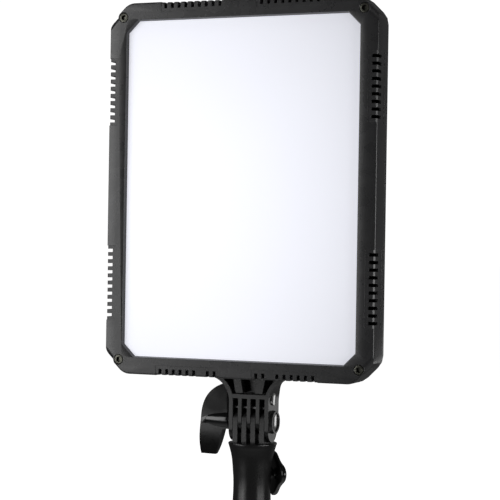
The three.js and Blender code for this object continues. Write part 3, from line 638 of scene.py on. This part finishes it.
def bed_tools():
    """The shallow beds that the slots stand in, two along each edge."""
    depth, margin = BED["depth"], BED["margin"]
    reach_front, reach_side = BED["reach_front"], BED["reach_side"]
    shoulder = 0.44 * EDGE_ROUND
    profile = [(reach_front, -1), (-2, -1), (-2, reach_side), (depth, reach_side),
               (depth, EDGE_ROUND + depth), (depth + shoulder, shoulder + depth),
               (depth + EDGE_ROUND, depth), (reach_front, depth)]
    pitch = VENT["side_pitch"]
    upper_end = VENT["upper"] + (VENT["upper_count"] - 1) * pitch
    lower_end = VENT["lower"] - (VENT["lower_count"] - 1) * pitch
    far_end = VENT["end"] + (VENT["end_count"] - 1) * VENT["end_pitch"]
    upper = (VENT["upper"] - margin, upper_end + margin)
    lower = (lower_end - margin, VENT["lower"] + margin)
    end = (VENT["end"] - margin, far_end + margin)
    spans = [(side, *span) for side in ("left", "right") for span in (upper, lower)]
    spans += [(edge, *span) for edge in ("top", "bottom") for span in (end, (-end[1], -end[0]))]
    return together([edge_tool(edge, profile, start, stop) for edge, start, stop in spans])


def corner_roll_offs():
    """Tools along the cut corners that leave the front edge rolled off behind a quarter round."""
    crease, face = CORNER["crease"], CORNER["face"]
    radius = face - crease
    outline = [(crease, -1), (crease, 0)] + arc(crease, radius, radius, -90, 0, 12)
    outline += [(face + 20, radius), (face + 20, -1)]
    tools = []
    for sx, sz in QUADRANTS.values():
        out = Vector((sx, 0, sz)).normalized()
        along = Vector((-sz, 0, sx)).normalized()
        loops = []
        for reach in (-30, 30):
            loops.append([out * u + along * reach + Vector((0, FRONT_Y + d, PANEL_Z)) for u, d in outline])
        tools.append(loft(loops))
    return together(tools)


def at_screws(make):
    return together([make((sx * SCREW_X, PANEL_Z + sz * SCREW_Z)) for sx, sz in QUADRANTS.values()])


def front_frame():
    """The shell with its rolled-off corners, screw bosses and slots."""
    shell = cut(frame_shell(), corner_roll_offs())
    y = FRONT_Y
    rim = HEAD_RADIUS + 0.3
    boss = [(BOSS_RADIUS, y + 12), (BOSS_RADIUS, y + 0.7),
            (BOSS_RADIUS - 0.2, y + 0.3), (BOSS_RADIUS - 0.5, y + 0.2)]
    shell = join(shell, at_screws(lambda at: turned("y", boss, at)))
    seat = [(rim, y + 6), (rim, y + 0.5), (rim + 0.3, y + 0.2), (rim + 0.6, y - 1)]
    seats = at_screws(lambda at: turned("y", seat, at))
    holes = at_screws(lambda at: rod("y", SCREW_HOLE_RADIUS, y + 5, y + FRAME_DEPTH + 1, at, 32))
    shell = cut(shell, seats, holes, bed_tools(), vent_tools())
    return piece(shell, "front_frame_shell", ["front_frame"], "housing")


def frame_screw(where):
    """A socket head cap screw with a turned rim and a hexagon socket."""
    sx, sz = QUADRANTS[where]
    at = (sx * SCREW_X, PANEL_Z + sz * SCREW_Z)
    lo, hi = box_mm(f"frame_screw_{where}")
    top, radius = lo.y, HEAD_RADIUS
    shank, seat = 2.2, top + 4.9
    head = [(shank, hi.y), (shank, seat), (radius, seat), (radius, top + 0.45),
            (radius - 0.15, top + 0.12), (radius - 0.5, top), (radius - 1.0, top),
            (radius - 1.15, top + 0.16), (radius - 1.5, top + 0.16),
            (radius - 1.6, top + 0.05), (2.9, top + 0.05)]
    body = turned("y", head, at)
    body = cut(body, hex_bar("y", 5.0, top - 1, top + 2.8, at))
    return piece(body, f"cap_screw_{where}", [f"frame_screw_{where}"], "black_screw", 0.12)


# ------------------------------------------------------------------ tilt bracket
def ear_wall(side):
    """One ear seen from the front: upright, then flaring out to the mount plate."""
    inner, outer, radius = EAR["inner"], EAR["outer"], EAR["flare_radius"]
    flare_z = EAR["flare_z"] + PIVOT_Z
    thick = outer - inner
    centre = outer + radius
    low = PIVOT_Z - EAR["drop"] - 1
    top = flare_z + radius
    outline = [(inner, low), (outer, low)] + arc(centre, flare_z, radius, 180, 90, 16)
    outline += [(PLATE["half_width"], top), (PLATE["half_width"], top + thick + 1)]
    outline += [(centre, top + thick + 1)] + arc(centre, flare_z, radius + thick, 90, 180, 16)
    wall = outline if side > 0 else mirrored(outline)
    return prism("y", wall, -EAR["half_depth"], EAR["rear_y"])


def ear_side():
    """The ears seen from the side: a round lower end, and a rear edge that sweeps in to the plate."""
    half, rear, z = EAR["half_depth"], EAR["rear_y"], PIVOT_Z
    end_z = z + half - EAR["drop"]
    outline = arc(0, end_z, half, 180, 360, 24)
    outline += bezier((half, end_z), (half, z), (rear, z + 2), (rear, z + 12), 10)
    outline += [(rear, z + 22)]
    outline += bezier((rear, z + 22), (rear, z + 29), (11, z + 33), (-5, z + 41.5), 14)
    outline += [(-5, z + 50), (-half, z + 50)]
    return prism("x", outline, -BEYOND, BEYOND)


def upper_finger(x):
    radius, half = COMB["radius"], COMB["finger"] / 2
    top = PIVOT_Z + COMB["bar_z"] + 1
    outline = arc(0, PIVOT_Z, radius, 180, 360, 24) + [(radius, top), (-radius, top)]
    return prism("x", outline, x - half, x + half)


def bracket_rib(side):
    points = [(6.5, 28.4), (14, 28.4), (18, 48), (10, 48)]
    outline = [(side * x, PIVOT_Z + z) for x, z in points]
    return prism("y", outline, -COMB["radius"], 1)


def bracket_web():
    """The sheet behind the ribs, which widens with the ears."""
    half = [(18, COMB["bar_z"]), (18.6, 27), (21, 31), (24.5, 36), (29, 40.5), (35, 44), (38, 47.5)]
    outline = [(x, PIVOT_Z + z) for x, z in half]
    return prism("y", outline + mirrored(outline), 0, 3)


def plate_screws(make):
    places = [(side * PLATE["screw_x"], PIVOT_Z + z) for side in (-1, 1) for z in PLATE["screw_z"]]
    return together([make(at) for at in places])


def tilt_bracket():
    """The casting: ears, mount plate, web, crossbar, rear wall, ribs, fingers and the bolt head's cup."""
    walls = common(together([ear_wall(-1), ear_wall(1)]), ear_side())
    plate_front = box_mm("tilt_bracket")[0].y
    plate_back = plate_front + PLATE["thickness"]
    z, half = PIVOT_Z, PLATE["half_width"]
    middle = z + (PLATE["z0"] + PLATE["z1"]) / 2
    plate_outline = rounded(rectangle(2 * half, PLATE["z1"] - PLATE["z0"], 0, middle), 6)
    plate = prism("y", plate_outline, plate_front, plate_back)
    span = EAR["inner"] + 1
    bar_end = (span, EAR["rear_y"], z + COMB["bar_top"])
    rear_wall = common(block((-span, COMB["wall_y"], z + COMB["wall_z"]), bar_end), ear_side())
    foot = block((-half + 3, -EAR["half_depth"], z + PLATE["z0"]), (half - 3, -7, z + 54))
    crossbar = block((-span, -COMB["radius"], z + COMB["bar_z"]), bar_end)
    web_foot = block((-span - 8, -8, z + 43), (span + 8, 1, z + 47.5))
    cup_radius, ear_face = CUP["radius"], EAR["outer"]
    cup_profile = [(cup_radius + 1.2, ear_face - 1), (cup_radius + 0.4, ear_face + 0.4),
                   (cup_radius, CUP["outer_x"])]
    cup = turned("x", cup_profile, (0, z))
    ribs = [bracket_rib(side) for side in (-1, 1)]
    fingers = [upper_finger(i * COMB["pitch"]) for i in (-1, 0, 1)]
    body = join(walls, plate, foot, crossbar, rear_wall, bracket_web(), web_foot, *ribs, cup, *fingers)
    plug_at = (PLUG["y"], z + PLUG["z"])
    reach, bore = EAR["inner"] - 3, PLUG["radius"] + 0.3
    plug_holes = together([rod("x", bore, -BEYOND, -reach, plug_at), rod("x", bore, reach, BEYOND, plug_at)])
    hollow = hex_bar("x", BOLT["across_flats"] + 0.6, CUP["floor_x"], BEYOND, (0, z))
    bolt_bore = rod("x", BOLT["bore"], -BEYOND, BEYOND, (0, z))
    screw_bores = plate_screws(lambda at: rod("y", PLATE["screw_bore"], -BEYOND, BEYOND, at, 32))
    screw_seats = plate_screws(lambda at: rod("y", PLATE["screw_seat"], plate_back, BEYOND, at, 48))
    body = cut(body, bolt_bore, hollow, plug_holes, screw_bores, screw_seats)
    return piece(body, "bracket_casting", ["tilt_bracket"], "bracket", 0.35)


def tilt_bolt():
    """The bolt, with a hexagonal head whose corners are turned off."""
    at = (0, PIVOT_Z)
    across, end = BOLT["across_flats"], BOLT_HI.x
    turned_off = turned("x", [(12, 18), (12, end - 1.7), (across / 2 - 0.2, end), (1, end + 0.01)], at)
    head = common(hex_bar("x", across, BOLT["head_x"], end, at), turned_off)
    body = join(head, rod("x", BOLT["radius"], BOLT_LO.x, BOLT["head_x"] + 1, at, 48))
    return piece(body, "hex_bolt", ["tilt_bolt"], "plated", 0.15)


def ear_plug(where, side):
    """The plated plug pressed into an ear, with a fine chamfer."""
    at = (PLUG["y"], PIVOT_Z + PLUG["z"])
    radius = PLUG["radius"]
    face = side * PLUG["face_x"]
    back = side * (EAR["inner"] + 0.4)
    chamfer = [(radius, face - side * 0.4), (radius - 0.12, face - side * 0.1), (radius - 0.4, face)]
    body = turned("x", [(radius, back)] + chamfer, at)
    return piece(body, f"plug_{where}", [f"ear_plug_{where}"], "plated")


# ------------------------------------------------------------------ clamp lever
def lever_blade():
    """The lever's blade, thickest at the tilt axis: a round upper wing and a longer, straighter lower one."""
    points = [(-26, -8.4), (-30.6, -9.6)]
    points += bezier((-30.6, -9.6), (-32.4, -17), (-34.3, -27), (-38.6, -34.8), 10)
    points += [(-54, -34.6)]
    points += bezier((-54, -34.6), (-56.6, -22), (-54.8, -10), (-53.7, 1), 10)
    points += bezier((-53.7, 1), (-53.4, 16), (-49.2, 29.4), (-32.2, 35.8), 14)
    points += [(-27.8, 34.4)]
    points += bezier((-27.8, 34.4), (-26.6, 26), (-25.6, 16), (-25.4, 8), 8)
    blade = prism("y", [(x, PIVOT_Z + z) for x, z in points], -8, 8)
    reach, tip, middle = LEVER["reach"], LEVER["tip_half"], LEVER["middle_half"]
    section = []
    for side in (1, -1):
        for i in range(21):
            share = -side + side * i / 10
            section.append((side * (tip + (middle - tip) * (1 - share * share)), PIVOT_Z + share * reach))
    return common(blade, prism("x", section, -60, -20))


def tilt_lever():
    """The blade on its turned hub, bored for the insert and the bolt."""
    near = LEVER["near_x"]
    hub = spline([(8.8, 0.3), (9.4, 1.4), (9.4, 4), (9, 9), (8.3, 16), (7.4, 21), (6.6, 24.5),
                  (5.2, 27.6), (3, 29.3), (0.4, 29.8)], 4)
    hub = [(8.5, 0.0)] + hub
    at = (0, PIVOT_Z)
    body = join(lever_blade(), turned("x", [(radius, near - along) for radius, along in hub], at))
    insert_bore = rod("x", LEVER["insert_bore"], LEVER["insert_end_x"], -20, at)
    bolt_bore = rod("x", BOLT["bore"], BOLT_LO.x - 1, -20, at)
    body = cut(body, insert_bore, bolt_bore)
    return piece(body, "clamp_lever", ["tilt_lever"], "grip", 0.9, 3)


# ------------------------------------------------------------------ stand receiver
def lower_finger(x):
    radius, half = COMB["radius"], RECEIVER_FINGER / 2
    outline = arc(0, PIVOT_Z, radius, 0, 180, 24) + [(-radius, COLLAR_TOP - 1), (radius, COLLAR_TOP - 1)]
    return prism("x", outline, x - half, x + half)


def toward_lock(obj):
    """Turns a shape drawn along +X to the clamp screw's direction, to the right and the rear."""
    obj.data.transform(Matrix.Rotation(math.radians(LOCK["turn"]), 4, "Z"))
    return obj


def stand_receiver():
    """The casting that goes over a stand's stud: a waisted barrel, its clamp boss and four fingers."""
    top = COLLAR_TOP
    waist = spline([(19.4, 1.2), (18.5, 30), (19.3, 46.4), (20.5, 58), (22.3, 66), (24.2, top - 0.8)], 8)
    body = turned("z", [(18.4, 0)] + waist + [(24.1, top - 0.3), (23.6, top)], sides=96)
    boss = toward_lock(rod("x", LOCK["boss_radius"], 12, LOCK["boss_end"], (0, LOCK_Z)))
    body = join(body, boss, *[lower_finger(i * COMB["pitch"]) for i in (-1.5, -0.5, 0.5, 1.5)])
    lock_at, pivot_at = (0, LOCK_Z), (0, PIVOT_Z)
    pad_bore = toward_lock(rod("x", LOCK["pad_bore"], 0, 11.6, lock_at))
    screw_bore = toward_lock(rod("x", LOCK["screw_bore"], 5, 30, lock_at))
    body = cut(body, rod("z", SOCKET_RADIUS, -1, SOCKET_DEPTH), pad_bore, screw_bore,
               rod("x", BOLT["bore"], -30, 30, pivot_at))
    return piece(body, "receiver_casting", ["stand_receiver"], "bracket", 0.3)


def knob_outline(inset, share=1.0):
    """The clamp knob's three-lobed outline, moved inwards or shrunk to a share of its size."""
    points = []
    for i in range(96):
        turn = 2 * math.pi * i / 96
        lobes = KNOB["swing"] * math.cos(3 * turn) + KNOB["ripple"] * math.cos(6 * turn)
        radius = (KNOB["mean"] + lobes - inset) * share
        angle = turn + math.radians(KNOB["first_lobe"])
        points.append((radius * math.cos(angle), LOCK_Z + radius * math.sin(angle)))
    return points


def lock_knob():
    """The clamp knob: a three-lobed disc with rounded rims and a slightly domed face."""
    near, far = KNOB["near"], KNOB["far"]
    inner_rim, outer_rim, dome = KNOB["inner_rim"], KNOB["outer_rim"], KNOB["dome"]
    edge = far - dome
    loops = []
    for step in range(6):
        angle = math.radians(18 * step)
        inset, rise = inner_rim * (1 - math.sin(angle)), inner_rim * (1 - math.cos(angle))
        loops.append(placed("x", knob_outline(inset), near + rise))
    for step in range(7):
        angle = math.radians(15 * step)
        inset, drop = outer_rim * (1 - math.cos(angle)), outer_rim * (1 - math.sin(angle))
        loops.append(placed("x", knob_outline(inset), edge - drop))
    for share in (0.94, 0.86, 0.75, 0.6, 0.4, 0.2, 0.05):
        loops.append(placed("x", knob_outline(outer_rim, share), edge + dome * (1 - share ** 3)))
    body = cut(loft(loops), rod("x", LOCK["screw_bore"], near - 1, far - 1.6, (0, LOCK_Z), 48))
    return piece(toward_lock(body), "clamp_knob", ["stand_lock_knob"], "grip")


# ------------------------------------------------------------------ all the pieces
front_frame()
for place in QUADRANTS:
    frame_screw(place)
tilt_bracket()
tilt_bolt()
for place, side in (("left", -1), ("right", 1)):
    ear_plug(place, side)
tilt_lever()
stand_receiver()
lock_knob()

EDGES = {"rear_housing": 0.4, "control_housing": 0.4, "diffuser_panel": 0.0, "power_rocker": 0.3,
         "dimmer_knob": 0.3, "colour_knob": 0.3, "mode_button": 0.3, "preset_button": 0.3}
replaced = {node for obj in bpy.data.objects for node in obj.get("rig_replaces", [])}
for node in frame["nodes"]:
    if node not in replaced:
        dress(node, EDGES.get(node, 0.0))


# ------------------------------------------------------------------ camera, lights and floor
def camera():
    """The photograph's viewpoint, in metres."""
    azimuth, elevation, roll = (math.radians(angle) for angle in (21.68, 0.12, 0.91))
    back = Vector((math.sin(azimuth) * math.cos(elevation), -math.cos(azimuth) * math.cos(elevation),
                   math.sin(elevation)))
    right = Vector((math.cos(azimuth), math.sin(azimuth), 0))
    up = back.cross(right)
    x_axis = right * math.cos(roll) + up * math.sin(roll)
    y_axis = up * math.cos(roll) - right * math.sin(roll)
    data = bpy.data.cameras.new("camera")
    data.lens = 115.27
    data.sensor_width = 36
    obj = bpy.data.objects.new("camera", data)
    bpy.context.scene.collection.objects.link(obj)
    turn = Matrix((x_axis, y_axis, back)).transposed().to_4x4()
    position = (0.5801, -1.4744, 0.2665)
    obj.matrix_world = Matrix.Translation(position) @ turn
    bpy.context.scene.camera = obj


ROOM = {"front": 0.02, "behind": 0.08, "below": 0.35}
LIGHTS = {  # azimuth, elevation, distance, width, height, power and the point that it faces
    "key": (-47.3, 4, 1.7, 1.15, 1.1, 15, (0, 0, 0.3)),
    "edge": (78, -2, 1.6, 1.3, 0.7, 12, (0, 0, 0.3)),
    "overhead": (0, 75, 1.3, 1.0, 0.8, 3.4, (0, 0, 0.3)),
    "table": (-29, -9, 1.3, 0.6, 0.25, 0.55, (0, 0, 0.1)),
    "card": (157.6, -3.6, 0.714, 0.15, 0.15, 0.06, (0, 0, 0.08)),
}


def softbox(name, azimuth, elevation, distance, width, height, power, target):
    """An area light round the object; azimuth 0 is in front of it and 90 on its right."""
    data = bpy.data.lights.new(name, "AREA")
    data.shape = "RECTANGLE"
    data.size, data.size_y, data.energy = width, height, power
    obj = bpy.data.objects.new(name, data)
    bpy.context.scene.collection.objects.link(obj)
    a, e = math.radians(azimuth), math.radians(elevation)
    back = Vector((math.sin(a) * math.cos(e), -math.cos(a) * math.cos(e), math.sin(e)))
    obj.location = Vector(target) + back * distance
    obj.rotation_mode = "QUATERNION"
    obj.rotation_quaternion = back.to_track_quat("Z", "Y")
    return obj


def studio():
    """Soft boxes in a dark room, in front of a white backdrop that only the camera sees."""
    scene = bpy.context.scene
    scene.view_settings.view_transform = "Standard"
    world = bpy.data.worlds.new("studio")
    scene.world = world
    world.use_nodes = True
    tree = world.node_tree
    where = add(tree, "ShaderNodeTexCoord")
    split = add(tree, "ShaderNodeSeparateXYZ")
    tree.links.new(where.outputs["Generated"], split.inputs[0])
    room = between(tree, split.outputs[1], ROOM["front"], ROOM["behind"], 0.6, 0.95)
    below = between(tree, split.outputs[2], ROOM["below"], 0.0, -0.85, -0.5)
    glow = add(tree, "ShaderNodeMath", operation="ADD")
    tree.links.new(room, glow.inputs[0])
    tree.links.new(below, glow.inputs[1])
    seen = add(tree, "ShaderNodeMix")
    rays = add(tree, "ShaderNodeLightPath")
    tree.links.new(rays.outputs["Is Camera Ray"], seen.inputs[0])
    tree.links.new(glow.outputs[0], seen.inputs[2])
    seen.inputs[3].default_value = 1.05
    tree.links.new(seen.outputs[0], tree.nodes["Background"].inputs["Strength"])
    tree.nodes["Background"].inputs["Color"].default_value = (1, 1, 1, 1)
    for name, box in LIGHTS.items():
        softbox(name, *box).visible_camera = False


def floor():
    """A bright floor that only the camera sees, a hair below the receiver's end."""
    half_size, gap = 30, 0.0005
    bm = bmesh.new()
    bmesh.ops.create_grid(bm, x_segments=8, y_segments=8, size=half_size)
    for vertex in bm.verts:
        vertex.co.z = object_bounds()[0].z - gap
    obj = solid("floor", bm)
    material, tree, shader = nodes_of("pale_floor")
    cloudy = between(tree, spots(tree, 0.002), 0.0, 1.0)
    tint = blend_colours(tree, cloudy, (0.5, 0.5, 0.5), (0.48, 0.48, 0.48))
    tree.links.new(tint, shader.inputs["Base Color"])
    shader.inputs["Roughness"].default_value = 0.8
    shader.inputs["Emission Color"].default_value = (1, 1, 1, 1)
    shader.inputs["Emission Strength"].default_value = 1.0
    obj.data.materials.append(material)
    obj.visible_glossy = False
    obj.visible_diffuse = False
    obj.visible_shadow = False
    obj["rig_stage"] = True


camera()
studio()
floor()
